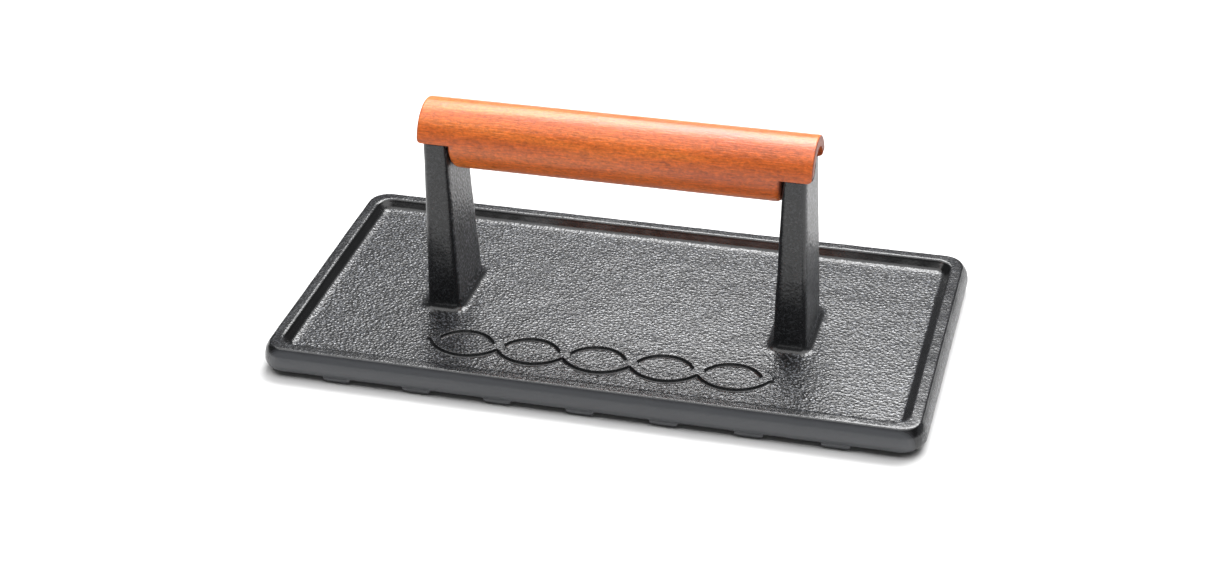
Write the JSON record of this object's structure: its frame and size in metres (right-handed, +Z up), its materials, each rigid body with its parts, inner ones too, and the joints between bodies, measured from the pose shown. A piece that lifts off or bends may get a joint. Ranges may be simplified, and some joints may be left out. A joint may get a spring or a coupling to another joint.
{
  "type": "bacon press",
  "caption": "Rectangular cast iron griddle press with a shallow tray on top, ridges below, and a round wooden grip screwed between its cast posts.",
  "frame": {"origin": "middle of the plate, on the plane that the crests of the ridges rest on", "axes": "+X along the grip and the plate's length, +Y across the plate, +Z up from the rest plane to the grip"},
  "size_m": [0.231, 0.117, 0.083],
  "materials": {
    "casting": "sand-cast grain with a baked oil coat, satin",
    "grip_wood": "orange-brown stain under satin lacquer",
    "screw_steel": "zinc-plated steel",
    "washer_steel": "zinc-plated steel"
  },
  "bodies": {
    "root": {"plate_casting": "casting", "wooden_grip": "grip_wood", "left_screw": "screw_steel", "right_screw": "screw_steel", "left_washer": "washer_steel", "right_washer": "washer_steel"}
  },
  "joints": []
}
